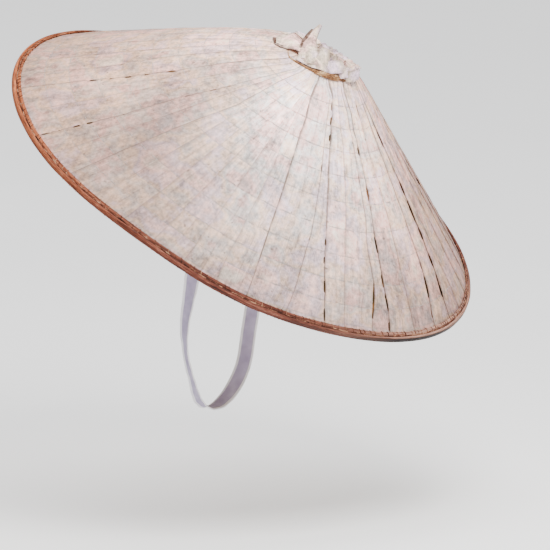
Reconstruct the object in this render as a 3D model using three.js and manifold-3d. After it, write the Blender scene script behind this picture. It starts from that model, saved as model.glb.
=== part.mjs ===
// A conical sedge hat with a bamboo rim, a tied tuft of leaf ends on top and a cotton chin strap.
// Millimetres and degrees. +Z is plumb up and the wearer looks along -Y, with their left at +X.
// The origin is the centre of the head ring. The hat is tipped back on the head and the strap hangs plumb.
import * as THREE from 'three';
import { mergeVertices } from 'three/addons/utils/BufferGeometryUtils.js';
import Module from 'manifold-3d';

const wasm = await Module();
wasm.setup();

// Driving dimensions
const TIP_BACK = 31.4;
const RIM_RADIUS = 260;
const CONE_HEIGHT = 200.7;
const WALL = 2;
const GAP = 0.3;

// Cover: straight cone, bowed a little, rounded off near the top and leaning towards one side there
const CROWN_RADIUS = 36;
const CROWN_RISE = 1.5;
const CROWN_DROP = 4.5;
const CROWN_DROP_SPREAD = 15;
const CROWN_SAG = { most: 8, azimuth: 200 };
const CROWN_LEAN = { most: 10, spread: 60, azimuth: 110 };
const BOW = { mean: 1.8, side: 1.2, azimuth: 290 };
const COVER_RADII = [CROWN_RADIUS, 48, 66, 96, 135, 175, 215, 255.6];
const COVER_EDGE = COVER_RADII.at(-1);

// Each leaf lies over the next one: high at its first edge, low at its last
const LEAVES = 44;
const LEAF_STEP = 0.7;
const LEAF_STEP_GROWS = { from: 28, to: 80 };
const LEAF_SECTION = [
  { across: 0, lift: 1 },
  { across: 0.5, lift: 0.6 },
  { across: 0.93, lift: 0 },
];

// Leaves on one side run past the axis by up to this much, so they reach the tuft in a twist
const LEAF_OFFSET = { most: 24, azimuth: -45, inner: 48 };

// The rim isn't quite flat: each row lifts it round one azimuth
const RIM_WARP = [
  { azimuth: 6, lift: 3.2, spread: 17 },
  { azimuth: 36, lift: -1.6, spread: 18 },
  { azimuth: -33, lift: -1.6, spread: 18 },
  { azimuth: 150, lift: 1.2, spread: 30 },
  { azimuth: 235, lift: -1.0, spread: 30 },
];

// Bamboo at the rim: a tall outer hoop, a thin strip on the leaves and one under them
const HOOP = { inner: 256.6, outer: 260, bottom: -0.8, top: 4.8, bevel: 0.7 };
const RIM_STRIP = { inner: 253.4, outer: 256, top: 1.1, under: 2.6 };
const RIM_SEGMENTS = 96;

// Head ring and its posts
const RING = { radius: 78, thickness: 4, height: 18, aboveRim: 20, segments: 48 };
const POST = { width: 12, thickness: 3.6, gap: 0.5, azimuths: [45, 135, 225, 315], fitSteps: 8 };

// Tuft of leaf ends and the binding under it
const TIE = { inner: 35.4, outer: 40.4, height: 3.6, bevel: 1, segments: 36 };
const TUFT_HEAD = { radius: 34.8, rise: 5, segments: 28, rootDepth: 2.6 };
const TUFT_HEAD_PROFILE = [
  { out: 0, up: 0 },
  { out: 1, up: 0 },
  { out: 1, up: 0.6 },
  { out: 0.7, up: 0.9 },
  { out: 0, up: 1 },
];
const TUFT_LEAF = { thickness: 1.4, columns: 2, rows: 4 };

// Leaf ends of the tuft: azimuth, root's distance from its axis, widths at the root and tip, length,
// and lean from upright at the root and at the tip
const TUFT_LEAVES = [
  { azimuth: -72, reach: 31, root: 24, tip: 18, length: 25, lean: 60, curl: 172 },
  { azimuth: -80, reach: 19, root: 10, tip: 5, length: 26, lean: 1, curl: -4 },
  { azimuth: -36, reach: 32, root: 17, tip: 13, length: 15, lean: 24, curl: 10 },
  { azimuth: -8, reach: 32, root: 18, tip: 14, length: 22, lean: 10, curl: -8 },
  { azimuth: 22, reach: 32, root: 19, tip: 15, length: 16, lean: 24, curl: 12 },
  { azimuth: 52, reach: 32, root: 20, tip: 15, length: 15, lean: 28, curl: 16 },
  { azimuth: 82, reach: 32, root: 18, tip: 14, length: 16, lean: 20, curl: 20 },
  { azimuth: 110, reach: 32, root: 18, tip: 15, length: 15, lean: 22, curl: 30 },
  { azimuth: 138, reach: 32, root: 18, tip: 13, length: 11, lean: 62, curl: 125 },
  { azimuth: 168, reach: 32, root: 19, tip: 13, length: 12, lean: 66, curl: 130 },
  { azimuth: 199, reach: 32, root: 19, tip: 12, length: 11, lean: 66, curl: 125 },
  { azimuth: 230, reach: 32, root: 19, tip: 14, length: 12, lean: 66, curl: 130 },
  { azimuth: 260, reach: 32, root: 18, tip: 12, length: 12, lean: 62, curl: 125 },
  { azimuth: 38, reach: 12, root: 22, tip: 15, length: 13, lean: 4, curl: -14 },
  { azimuth: 96, reach: 17, root: 18, tip: 13, length: 11, lean: 8, curl: 26 },
  { azimuth: -30, reach: 14, root: 16, tip: 12, length: 11, lean: 2, curl: -20 },
];

// Chin strap: a flat band that hangs from an eye on each side of the ring
const STRAP = { width: 16, thickness: 1.6, leadIn: 10, steps: 60, samples: 400 };

// One side of the strap from the eye down to the middle: place, and how far the band is turned
const STRAP_PATH = [
  { x: 77.5, y: -16, z: -50, turn: -6 },
  { x: 76, y: -24, z: -99, turn: -12 },
  { x: 74, y: -29, z: -121, turn: 12 },
  { x: 72, y: -34.5, z: -143, turn: 27 },
  { x: 67, y: -38, z: -174, turn: 40 },
  { x: 52, y: -37.5, z: -213, turn: 36 },
  { x: 28, y: -41, z: -239, turn: 14 },
  { x: 0, y: -44, z: -248, turn: 0 },
];

// Colours and finishes
const SEDGE = { color: 0xd8cdbb, roughness: 0.82, metalness: 0 };
const BAMBOO = { color: 0xb4683c, roughness: 0.5, metalness: 0 };
const PLAIN_BAMBOO = { color: 0xc9a878, roughness: 0.6, metalness: 0 };
const COTTON = { color: 0xe6e6ea, roughness: 0.9, metalness: 0 };

const radians = THREE.MathUtils.degToRad;
const degrees = THREE.MathUtils.radToDeg;
const SLOPE = Math.atan2(CONE_HEIGHT, RIM_RADIUS);
const HAT_AXIS = new THREE.Vector3(0, Math.sin(radians(TIP_BACK)), Math.cos(radians(TIP_BACK)));

function namedMesh(name, geometry, look) {
  const mesh = new THREE.Mesh(geometry, new THREE.MeshStandardMaterial(look));
  mesh.name = name;
  return mesh;
}

// Degrees from one azimuth to another, between -180 and 180
function azimuthBetween(from, to) {
  return THREE.MathUtils.euclideanModulo(to - from + 180, 360) - 180;
}

function rimLift(azimuth) {
  let lift = 0;
  for (const bump of RIM_WARP) {
    const away = azimuthBetween(bump.azimuth, azimuth) / bump.spread;
    lift += bump.lift * Math.exp(-away * away);
  }
  return lift;
}

// How much lower the crown is on one side
function crownSag(radius, azimuth) {
  const side = Math.max(0, Math.cos(radians(azimuth - CROWN_SAG.azimuth)));
  const inside = Math.min(1, radius / CROWN_RADIUS);
  const outside = Math.exp(Math.min(0, CROWN_RADIUS - radius) / CROWN_DROP_SPREAD);
  return CROWN_SAG.most * side ** 2 * inside * outside;
}

// Height of the leaves' outer face above the rim plane
function coverHeight(radius, azimuth) {
  const share = (radius - CROWN_RADIUS) / (COVER_EDGE - CROWN_RADIUS);
  const side = Math.cos(radians(azimuth - BOW.azimuth));
  const bow = (BOW.mean + BOW.side * side) * Math.sin(Math.PI * share);
  const drop = CROWN_DROP * Math.exp((CROWN_RADIUS - radius) / CROWN_DROP_SPREAD);
  const warp = rimLift(azimuth) * (radius / RIM_RADIUS) ** 3;
  return CONE_HEIGHT * (1 - radius / RIM_RADIUS) + bow - drop - crownSag(radius, azimuth) + warp;
}

// Sideways shift of the cover at a radius
function crownLean(radius) {
  const lean = CROWN_LEAN.most * Math.exp(-((radius / CROWN_LEAN.spread) ** 2));
  return {
    x: lean * Math.cos(radians(CROWN_LEAN.azimuth)),
    y: lean * Math.sin(radians(CROWN_LEAN.azimuth)),
  };
}

// Azimuth at a smaller radius of the leaf edge that reaches the rim at this azimuth
function leafAzimuth(rimAzimuth, radius) {
  const offset = LEAF_OFFSET.most * Math.max(0, Math.cos(radians(rimAzimuth - LEAF_OFFSET.azimuth)));
  const twist = Math.asin(offset / Math.max(radius, LEAF_OFFSET.inner)) - Math.asin(offset / RIM_RADIUS);
  return rimAzimuth + degrees(twist);
}

// Point on the cover, lifted along the slope's normal
function coverPoint(rimAzimuth, radius, lift) {
  const azimuth = leafAzimuth(rimAzimuth, radius);
  const reach = radius + lift * Math.sin(SLOPE);
  const lean = crownLean(radius);
  return new THREE.Vector3(
    reach * Math.cos(radians(azimuth)) + lean.x,
    reach * Math.sin(radians(azimuth)) + lean.y,
    coverHeight(radius, azimuth) + lift * Math.cos(SLOPE),
  );
}

function leafStep(radius) {
  return LEAF_STEP * THREE.MathUtils.smoothstep(radius, LEAF_STEP_GROWS.from, LEAF_STEP_GROWS.to);
}

// Where each leaf's edges and middle reach the rim
function leafColumns() {
  const columns = [];
  for (let leaf = 0; leaf < LEAVES; leaf += 1) {
    for (const { across, lift } of LEAF_SECTION) {
      columns.push({ azimuth: ((leaf + across) * 360) / LEAVES, lift });
    }
  }
  return columns;
}

function coverRing(columns, radius, below) {
  const step = leafStep(radius);
  return columns.map((column) => coverPoint(column.azimuth, radius, column.lift * step - below));
}

// Closed shell: outer rings from the crown to the edge, then inner rings back up to the crown
function sedgeCover() {
  const columns = leafColumns();
  const outer = COVER_RADII.map((radius) => coverRing(columns, radius, 0));
  const inner = COVER_RADII.map((radius) => coverRing(columns, radius, WALL)).reverse();
  const rings = [...outer, ...inner];
  const crown = coverPoint(0, CROWN_RADIUS, 0).z + CROWN_RISE;
  const lean = crownLean(CROWN_RADIUS);
  const tip = new THREE.Vector3(lean.x, lean.y, crown);
  const points = [tip, ...rings.flat(), tip.clone().setZ(crown - WALL)];
  const count = columns.length;
  const at = (ring, column) => 1 + ring * count + (column % count);
  const faces = [];
  for (let column = 0; column < count; column += 1) {
    faces.push(0, at(0, column), at(0, column + 1));
    for (let ring = 0; ring + 1 < rings.length; ring += 1) {
      faces.push(at(ring, column), at(ring + 1, column), at(ring + 1, column + 1));
      faces.push(at(ring, column), at(ring + 1, column + 1), at(ring, column + 1));
    }
    faces.push(at(rings.length - 1, column), points.length - 1, at(rings.length - 1, column + 1));
  }
  const geometry = new THREE.BufferGeometry().setFromPoints(points);
  geometry.setIndex(faces);
  geometry.computeVertexNormals();
  return namedMesh('sedge_cover', geometry, SEDGE);
}

// Turned solid about Z from a closed outline of [radius, height] pairs, listed anticlockwise
function turned(outline, segments) {
  const closed = [...outline, outline[0]].map(([radius, height]) => new THREE.Vector2(radius, height));
  return new THREE.LatheGeometry(closed, segments).rotateX(Math.PI / 2);
}

// Moves each point up or down by a lift that depends on its radius and azimuth
function lifted(geometry, liftAt) {
  const place = geometry.attributes.position;
  for (let i = 0; i < place.count; i += 1) {
    const radius = Math.hypot(place.getX(i), place.getY(i));
    const azimuth = degrees(Math.atan2(place.getY(i), place.getX(i)));
    place.setZ(i, place.getZ(i) + liftAt(radius, azimuth));
  }
  geometry.computeVertexNormals();
  return geometry;
}

function followRim(geometry) {
  return lifted(geometry, (radius, azimuth) => rimLift(azimuth) * (radius / RIM_RADIUS) ** 3);
}

function followCrown(geometry) {
  return lifted(geometry, (radius, azimuth) => -crownSag(radius, azimuth));
}

function rimHoop() {
  const outline = [
    [HOOP.inner, HOOP.bottom],
    [HOOP.outer - HOOP.bevel, HOOP.bottom],
    [HOOP.outer, HOOP.bottom + HOOP.bevel],
    [HOOP.outer, HOOP.top - HOOP.bevel],
    [HOOP.outer - HOOP.bevel, HOOP.top],
    [HOOP.inner, HOOP.top],
  ];
  return namedMesh('rim_hoop', followRim(turned(outline, RIM_SEGMENTS)), BAMBOO);
}

// Height of the straight slope at a radius, moved up or down
function slopeHeight(radius, lift) {
  return CONE_HEIGHT * (1 - radius / RIM_RADIUS) + lift;
}

function rimTopStrip() {
  const low = LEAF_STEP / Math.cos(SLOPE) + 2 * GAP;
  const outline = [
    [RIM_STRIP.inner, slopeHeight(RIM_STRIP.inner, low)],
    [RIM_STRIP.outer, slopeHeight(RIM_STRIP.outer, low)],
    [RIM_STRIP.outer, slopeHeight(RIM_STRIP.outer, low + RIM_STRIP.top)],
    [RIM_STRIP.inner, slopeHeight(RIM_STRIP.inner, low + RIM_STRIP.top)],
  ];
  return namedMesh('rim_top_strip', followRim(turned(outline, RIM_SEGMENTS)), BAMBOO);
}

function rimUnderStrip() {
  const high = -WALL / Math.cos(SLOPE) - GAP;
  const outline = [
    [RIM_STRIP.inner, slopeHeight(RIM_STRIP.inner, high - RIM_STRIP.under)],
    [RIM_STRIP.outer, slopeHeight(RIM_STRIP.outer, high - RIM_STRIP.under)],
    [RIM_STRIP.outer, slopeHeight(RIM_STRIP.outer, high)],
    [RIM_STRIP.inner, slopeHeight(RIM_STRIP.inner, high)],
  ];
  return namedMesh('rim_under_strip', followRim(turned(outline, RIM_SEGMENTS)), BAMBOO);
}

function headRing() {
  const inner = RING.radius - RING.thickness / 2;
  const outer = RING.radius + RING.thickness / 2;
  const top = RING.height / 2;
  const outline = [[inner, -top], [outer, -top], [outer, top], [inner, top]];
  const mesh = namedMesh('head_ring', turned(outline, RING.segments), PLAIN_BAMBOO);
  mesh.position.z = RING.aboveRim;
  return mesh;
}

// How far a point has to go square to the slope to come close under the leaves
function reachToCover(radius, height, azimuth) {
  const under = (WALL + POST.gap) / Math.cos(SLOPE);
  let reach = 0;
  for (let step = 0; step < POST.fitSteps; step += 1) {
    const above = coverHeight(radius + reach * Math.sin(SLOPE), azimuth) - under;
    reach += (above - height - reach * Math.cos(SLOPE)) * Math.cos(SLOPE);
  }
  return new THREE.Vector2(radius + reach * Math.sin(SLOPE), height + reach * Math.cos(SLOPE));
}

// Flat post that stands on the ring and leans out to meet the leaves squarely
function ringPost(azimuth, number) {
  const foot = RING.aboveRim + RING.height / 2 + GAP;
  const inside = RING.radius - POST.thickness / 2;
  const outside = RING.radius + POST.thickness / 2;
  const side = new THREE.Shape([
    new THREE.Vector2(inside, foot),
    new THREE.Vector2(outside, foot),
    reachToCover(outside, foot, azimuth),
    reachToCover(inside, foot, azimuth),
  ]);
  const geometry = new THREE.ExtrudeGeometry(side, { depth: POST.width, bevelEnabled: false });
  geometry.translate(0, 0, -POST.width / 2);
  geometry.rotateX(Math.PI / 2);
  const mesh = namedMesh(`ring_post_${number}`, geometry, PLAIN_BAMBOO);
  mesh.rotation.z = radians(azimuth);
  return mesh;
}

function placeOnCrown(object) {
  const lean = crownLean(CROWN_RADIUS);
  object.position.x = lean.x;
  object.position.y = lean.y;
  return object;
}

// Just above the cover at a radius near the crown, before the crown sags
function aboveCrown(radius) {
  return coverHeight(radius, BOW.azimuth) + leafStep(radius) / Math.cos(SLOPE) + GAP;
}

function topknotTie() {
  const { inner, outer, height, bevel } = TIE;
  const outline = [
    [inner, aboveCrown(inner)],
    [outer - bevel, aboveCrown(outer - bevel)],
    [outer, aboveCrown(outer) + bevel],
    [outer, aboveCrown(outer) + height - bevel],
    [outer - 2 * bevel, aboveCrown(outer) + height],
    [inner, aboveCrown(inner) + height],
  ];
  return placeOnCrown(namedMesh('topknot_tie', followCrown(turned(outline, TIE.segments)), BAMBOO));
}

function toSolid(geometry) {
  const plain = geometry.index ? geometry.clone() : geometry;
  plain.deleteAttribute('normal');
  plain.deleteAttribute('uv');
  const merged = mergeVertices(plain, 1e-4);
  return new wasm.Manifold(new wasm.Mesh({
    numProp: 3,
    vertProperties: new Float32Array(merged.attributes.position.array),
    triVerts: new Uint32Array(merged.index.array),
  }));
}

function fromSolid(solid) {
  const { vertProperties, triVerts } = solid.getMesh();
  const geometry = new THREE.BufferGeometry();
  geometry.setAttribute('position', new THREE.BufferAttribute(new Float32Array(vertProperties), 3));
  geometry.setIndex(new THREE.BufferAttribute(new Uint32Array(triVerts), 1));
  const flat = geometry.toNonIndexed();
  flat.computeVertexNormals();
  return flat;
}

function tuftBase() {
  return aboveCrown(CROWN_RADIUS) + CROWN_RISE;
}

function tuftHead() {
  const { radius, rise, segments } = TUFT_HEAD;
  const points = TUFT_HEAD_PROFILE.map(({ out, up }) => new THREE.Vector2(radius * out, tuftBase() + rise * up));
  return new THREE.LatheGeometry(points, segments).rotateX(Math.PI / 2);
}

// One leaf end: a tapering strip that rises from the head and curls outward, cupped across its width
function tuftLeaf({ azimuth, reach, root, tip, length, lean, curl }) {
  const { thickness, columns, rows } = TUFT_LEAF;
  const geometry = new THREE.BoxGeometry(1, length, thickness, columns, rows, 1);
  const place = geometry.attributes.position;
  for (let i = 0; i < place.count; i += 1) {
    const share = place.getY(i) / length + 0.5;
    const across = place.getX(i) * THREE.MathUtils.lerp(root, tip, share);
    const angle = radians(THREE.MathUtils.lerp(lean, curl, share));
    const middle = radians(THREE.MathUtils.lerp(lean, (lean + curl) / 2, share));
    const cup = -(across * across) / (2 * reach);
    const outward = reach + share * length * Math.sin(middle) + cup;
    const upward = TUFT_HEAD.rootDepth + share * length * Math.cos(middle);
    place.setXYZ(
      i,
      outward + place.getZ(i) * Math.cos(angle),
      across,
      tuftBase() + upward - place.getZ(i) * Math.sin(angle),
    );
  }
  return geometry.rotateZ(radians(azimuth));
}

function topknot() {
  let solid = toSolid(followCrown(tuftHead()));
  for (const leaf of TUFT_LEAVES) {
    solid = solid.add(toSolid(followCrown(tuftLeaf(leaf))));
  }
  return placeOnCrown(namedMesh('topknot', fromSolid(solid), SEDGE));
}

// Flat band bent along a curve; turnAt gives how far it is turned about the curve at each share of it
function bentBand(curve, turnAt) {
  const geometry = new THREE.BoxGeometry(STRAP.width, STRAP.thickness, 1, 1, 1, STRAP.steps);
  const place = geometry.attributes.position;
  for (let i = 0; i < place.count; i += 1) {
    const share = place.getZ(i) + 0.5;
    const along = curve.getTangentAt(share);
    const across = new THREE.Vector3(0, 1, 0).projectOnPlane(along).normalize();
    across.applyAxisAngle(along, radians(turnAt(share)));
    const through = along.clone().cross(across);
    const point = curve.getPointAt(share);
    point.addScaledVector(across, place.getX(i)).addScaledVector(through, place.getY(i));
    place.setXYZ(i, point.x, point.y, point.z);
  }
  return geometry;
}

// Turn at a share of the whole strap; the two halves mirror each other
function strapTurn(curve, stations) {
  const lengths = curve.getLengths(STRAP.samples);
  const sampleAt = (station) => Math.round((STRAP.samples * station) / (stations.length - 1));
  const shares = stations.map((_, station) => lengths[sampleAt(station)] / lengths.at(-1));
  return (share) => {
    const next = Math.max(1, shares.findIndex((value) => value >= share - Number.EPSILON));
    const part = (share - shares[next - 1]) / (shares[next] - shares[next - 1]);
    return THREE.MathUtils.lerp(stations[next - 1].turn, stations[next].turn, part);
  };
}

// Eye round the ring's section, in the tipped hat's frame at azimuth 0
function strapEye() {
  const sag = RING.radius * (1 - Math.cos(Math.asin(STRAP.width / 2 / RING.radius)));
  const inside = RING.radius - RING.thickness / 2 - sag - GAP;
  const outside = RING.radius + RING.thickness / 2 + GAP;
  const half = RING.height / 2 + GAP;
  const wall = STRAP.thickness;
  const outer = new THREE.Shape([
    new THREE.Vector2(inside - wall, -half - wall),
    new THREE.Vector2(outside + wall, -half - wall),
    new THREE.Vector2(outside + wall, half + wall),
    new THREE.Vector2(inside - wall, half + wall),
  ]);
  outer.holes.push(new THREE.Path([
    new THREE.Vector2(inside, -half),
    new THREE.Vector2(inside, half),
    new THREE.Vector2(outside, half),
    new THREE.Vector2(outside, -half),
  ]));
  const geometry = new THREE.ExtrudeGeometry(outer, { depth: STRAP.width, bevelEnabled: false });
  return geometry.translate(0, 0, -STRAP.width / 2).rotateX(Math.PI / 2 - radians(TIP_BACK));
}

function chinStrap() {
  const drop = RING.height / 2 + GAP + STRAP.thickness / 2;
  const leadIn = [drop, drop + STRAP.leadIn].map((below) => {
    const { y, z } = HAT_AXIS.clone().multiplyScalar(-below);
    return { x: RING.radius, y, z, turn: 0 };
  });
  const left = [...leadIn, ...STRAP_PATH];
  const right = left.slice(0, -1).reverse().map(({ x, y, z, turn }) => ({ x: -x, y, z, turn }));
  const stations = [...left, ...right];
  const curve = new THREE.CatmullRomCurve3(stations.map(({ x, y, z }) => new THREE.Vector3(x, y, z)));
  const band = toSolid(bentBand(curve, strapTurn(curve, stations)));
  const leftEye = toSolid(strapEye());
  const rightEye = toSolid(strapEye().rotateZ(Math.PI).rotateX(-2 * radians(TIP_BACK)));
  return namedMesh('chin_strap', fromSolid(band.add(leftEye).add(rightEye)), COTTON);
}

const aboveRimPlane = new THREE.Group();
aboveRimPlane.position.z = -RING.aboveRim;
aboveRimPlane.add(sedgeCover(), rimHoop(), rimTopStrip(), rimUnderStrip());
aboveRimPlane.add(headRing(), ...POST.azimuths.map((azimuth, i) => ringPost(azimuth, i + 1)));
aboveRimPlane.add(topknotTie(), topknot());

const tippedHat = new THREE.Group();
tippedHat.rotation.x = -radians(TIP_BACK);
tippedHat.add(aboveRimPlane);

const sedgeHat = new THREE.Group();
sedgeHat.add(tippedHat, chinStrap());

export default sedgeHat;
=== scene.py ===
"""A conical sedge hat with a split bamboo rim, a tied tuft on top and a cotton chin strap.

Hat coordinates are millimetres: the hat's axis is z, the rim plane is z = 0, azimuths are degrees
from the wearer's left. to_world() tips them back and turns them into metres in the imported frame.
"""

import math

import bpy
import numpy as np
from mathutils import Matrix, Vector


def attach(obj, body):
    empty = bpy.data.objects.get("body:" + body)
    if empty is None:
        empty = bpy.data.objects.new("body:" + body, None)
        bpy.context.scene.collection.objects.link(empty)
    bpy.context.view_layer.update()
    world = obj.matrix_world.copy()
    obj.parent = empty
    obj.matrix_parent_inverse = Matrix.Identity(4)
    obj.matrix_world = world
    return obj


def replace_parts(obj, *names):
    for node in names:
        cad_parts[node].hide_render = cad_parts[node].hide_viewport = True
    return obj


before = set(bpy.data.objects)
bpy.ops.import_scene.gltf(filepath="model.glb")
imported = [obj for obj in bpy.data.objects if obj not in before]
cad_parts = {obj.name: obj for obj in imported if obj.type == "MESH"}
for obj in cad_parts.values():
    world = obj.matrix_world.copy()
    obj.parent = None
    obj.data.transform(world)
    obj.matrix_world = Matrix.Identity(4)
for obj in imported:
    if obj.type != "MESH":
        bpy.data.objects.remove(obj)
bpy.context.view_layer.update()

MM = 0.001
TIP_BACK = math.radians(31.4)
RING_ABOVE_RIM = 20.0
HAT_AXIS = np.array([0.0, math.sin(TIP_BACK), math.cos(TIP_BACK)])
HAT_SIDE = np.array([0.0, math.cos(TIP_BACK), -math.sin(TIP_BACK)])


def to_world(points):
    """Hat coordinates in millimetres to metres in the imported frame."""
    points = np.asarray(points, float)
    x, y, z = points[..., 0], points[..., 1], points[..., 2] - RING_ABOVE_RIM
    world = np.stack([x, np.zeros_like(x), np.zeros_like(x)], -1)
    return (world + y[..., None] * HAT_SIDE + z[..., None] * HAT_AXIS) * MM


# Camera
PHOTO_PIXELS = 550
PIXELS_PER_MM = 0.987
RIM_CENTRE_PIXEL = (240.7, 186.7)
CAMERA_AZIMUTH = math.radians(29.2)
CAMERA_ELEVATION = math.radians(10.0)
CAMERA_DISTANCE = 25.0
SENSOR_MM = 36.0
SEEN_TO = 90  # metres


def add_camera():
    side, height = math.cos(CAMERA_ELEVATION), math.sin(CAMERA_ELEVATION)
    towards = Vector((math.cos(CAMERA_AZIMUTH) * side, math.sin(CAMERA_AZIMUTH) * side, height))
    right = Vector((-math.sin(CAMERA_AZIMUTH), math.cos(CAMERA_AZIMUTH), 0))
    up = towards.cross(right)
    middle = PHOTO_PIXELS / 2
    across = (middle - RIM_CENTRE_PIXEL[0]) / PIXELS_PER_MM * MM
    down = (middle - RIM_CENTRE_PIXEL[1]) / PIXELS_PER_MM * MM
    aim = Vector(to_world([0, 0, 0])) + right * across - up * down
    data = bpy.data.cameras.new("camera")
    data.sensor_width = SENSOR_MM
    data.lens = SENSOR_MM * CAMERA_DISTANCE / (PHOTO_PIXELS / PIXELS_PER_MM * MM)
    data.clip_end = SEEN_TO
    camera = bpy.data.objects.new("camera", data)
    camera.matrix_world = Matrix.Translation(aim + towards * CAMERA_DISTANCE) @ Matrix(
        [[right[i], up[i], towards[i], 0] for i in range(3)] + [[0, 0, 0, 1]]
    )
    bpy.context.scene.collection.objects.link(camera)
    bpy.context.scene.camera = camera


add_camera()


# Meshes


def grid_faces(rows, columns, closed_rows=False, closed_columns=False):
    """Quads of a grid whose points run along its columns first."""
    faces = []
    for i in range(rows if closed_rows else rows - 1):
        for j in range(columns if closed_columns else columns - 1):
            a, b = i * columns + j, i * columns + (j + 1) % columns
            c, d = (i + 1) % rows * columns + (j + 1) % columns, (i + 1) % rows * columns + j
            faces.append((a, b, c, d))
    return faces


def unit(vectors, least=0.0):
    """Rows of vectors made 1 long; least keeps a row of zeros from a division by zero."""
    return vectors / (np.linalg.norm(vectors, axis=1)[:, None] + least)


def run_length(points):
    """Length along a line of points up to each of them."""
    return np.concatenate([[0], np.cumsum(np.linalg.norm(np.diff(points, axis=0), axis=1))])


class Batch:
    """Points, faces and point values gathered for one piece."""

    def __init__(self):
        self.points, self.faces, self.values, self.count = [], [], {}, 0

    def add(self, points, faces, **values):
        points = np.asarray(points, float).reshape(-1, 3)
        self.faces += [tuple(self.count + i for i in face) for face in faces]
        self.points.append(points)
        for name, value in values.items():
            value = np.asarray(value, float)
            shape = (len(points), 3) if value.ndim > 1 else (len(points),)
            self.values.setdefault(name, []).append(np.broadcast_to(value, shape))
        self.count += len(points)

    def sheet(self, front, back, **values):
        """Closed strip from two grids of points, [rows, columns, 3], that face away from each other."""
        rows, columns = front.shape[:2]
        size = rows * columns
        faces = grid_faces(rows, columns)
        faces += [tuple(reversed([size + i for i in face])) for face in faces]
        rim = [i * columns for i in range(rows)]
        rim += [(rows - 1) * columns + j for j in range(1, columns)]
        rim += [i * columns + columns - 1 for i in range(rows - 2, -1, -1)]
        rim += list(range(columns - 2, 0, -1))
        for a, b in zip(rim, rim[1:] + rim[:1]):
            faces.append((a, b, size + b, size + a))
        doubled = {}
        for name, value in values.items():
            value = np.asarray(value, float)
            grid = value.shape[:2] == (rows, columns)
            flat = value.reshape(size, *value.shape[2:]) if grid else value
            doubled[name] = np.concatenate([flat, flat]) if grid else flat
        points = np.concatenate([front.reshape(-1, 3), back.reshape(-1, 3)])
        self.add(points, faces, **doubled)

    def piece(self, name, material, slot, angle=None):
        mesh = bpy.data.meshes.new(name)
        mesh.from_pydata(np.concatenate(self.points).tolist(), [], self.faces)
        for key, parts in self.values.items():
            data = np.concatenate(parts).astype(np.float32)
            kind, field = ("FLOAT_VECTOR", "vector") if data.ndim > 1 else ("FLOAT", "value")
            layer = mesh.attributes.new(key, kind, "POINT")
            layer.data.foreach_set(field, data.ravel())
        mesh.polygons.foreach_set("use_smooth", [True] * len(mesh.polygons))
        if angle is not None:
            mesh.set_sharp_from_angle(angle=math.radians(angle))
        mesh.validate()
        obj = bpy.data.objects.new(name, mesh)
        bpy.context.scene.collection.objects.link(obj)
        obj.data.materials.append(material)
        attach(obj, "root")
        return obj


def tube(batch, path, radius, sides=6, closed=False):
    """Tube along points in world metres; radius is one value or one for each point."""
    path = np.asarray(path, float)
    count = len(path)
    along = unit(np.roll(path, -1, 0) - np.roll(path, 1, 0) if closed else np.gradient(path, axis=0))
    side = unit(np.cross(along, HAT_AXIS), 1e-12)
    up = np.cross(side, along)
    turn = np.linspace(0, 2 * math.pi, sides, endpoint=False)
    ring = np.cos(turn)[None, :, None] * side[:, None] + np.sin(turn)[None, :, None] * up[:, None]
    points = path[:, None] + ring * np.broadcast_to(radius, count)[:, None, None]
    faces = grid_faces(count, sides, closed_rows=closed, closed_columns=True)
    if not closed:
        faces.append(tuple(range(sides)))
        faces.append(tuple((count - 1) * sides + i for i in reversed(range(sides))))
    batch.add(points, faces)


# The cover's form

RIM_RADIUS = 260.0
CONE_HEIGHT = 200.7
SLOPE = math.atan2(CONE_HEIGHT, RIM_RADIUS)
SLOPE_END = 255.6
CROWN_RADIUS = 36.0
CROWN_RISE = 1.5
CROWN_DROP, CROWN_ROUNDING = 4.5, 15  # how the slope rounds off into the crown
SAG_DEPTH, SAG_AZIMUTH = 8, 200  # the crown sags to one side
LEVEL_AZIMUTH = 290.0  # where it doesn't sag
BOW_HEIGHT, BOW_MORE = 1.8, 1.2  # bulge of the slope, and how much more of it at LEVEL_AZIMUTH
LEAF_OFFSET, OFFSET_AZIMUTH, OFFSET_FROM = 24, -45, 48  # how far from the axis the leaves' lines pass
CROWN_LEAN = (10.0, 60.0, 110)  # how far the crown leans over, its spread, its azimuth
# Rises and dips of the rim: azimuth, height, spread
RIM_WARP = [(6, 3.2, 17), (36, -1.6, 18), (-33, -1.6, 18), (150, 1.2, 30), (235, -1.0, 30)]


def between(start, end):
    return (end - start + 180) % 360 - 180


def cosd(angle):
    return np.cos(np.radians(angle))


def sind(angle):
    return np.sin(np.radians(angle))


def polar(radius, azimuth, height):
    """Hat coordinates of points given by radius, azimuth and height."""
    return np.stack(np.broadcast_arrays(radius * cosd(azimuth), radius * sind(azimuth), height), -1)


def bell(at, spread, azimuth):
    """1 at an azimuth, falling off to both sides of it."""
    return np.exp(-((between(at, azimuth) / spread) ** 2))


def smooth(low, high, value):
    share = np.clip((value - low) / (high - low), 0, 1)
    return share * share * (3 - 2 * share)


def rim_lift(azimuth):
    return sum(lift * bell(at, spread, azimuth) for at, lift, spread in RIM_WARP)


def crown_sag(radius, azimuth):
    side = np.maximum(0, cosd(azimuth - SAG_AZIMUTH))
    inside = np.minimum(1, radius / CROWN_RADIUS)
    return SAG_DEPTH * side**2 * inside * np.exp(np.minimum(0, CROWN_RADIUS - radius) / CROWN_ROUNDING)


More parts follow.
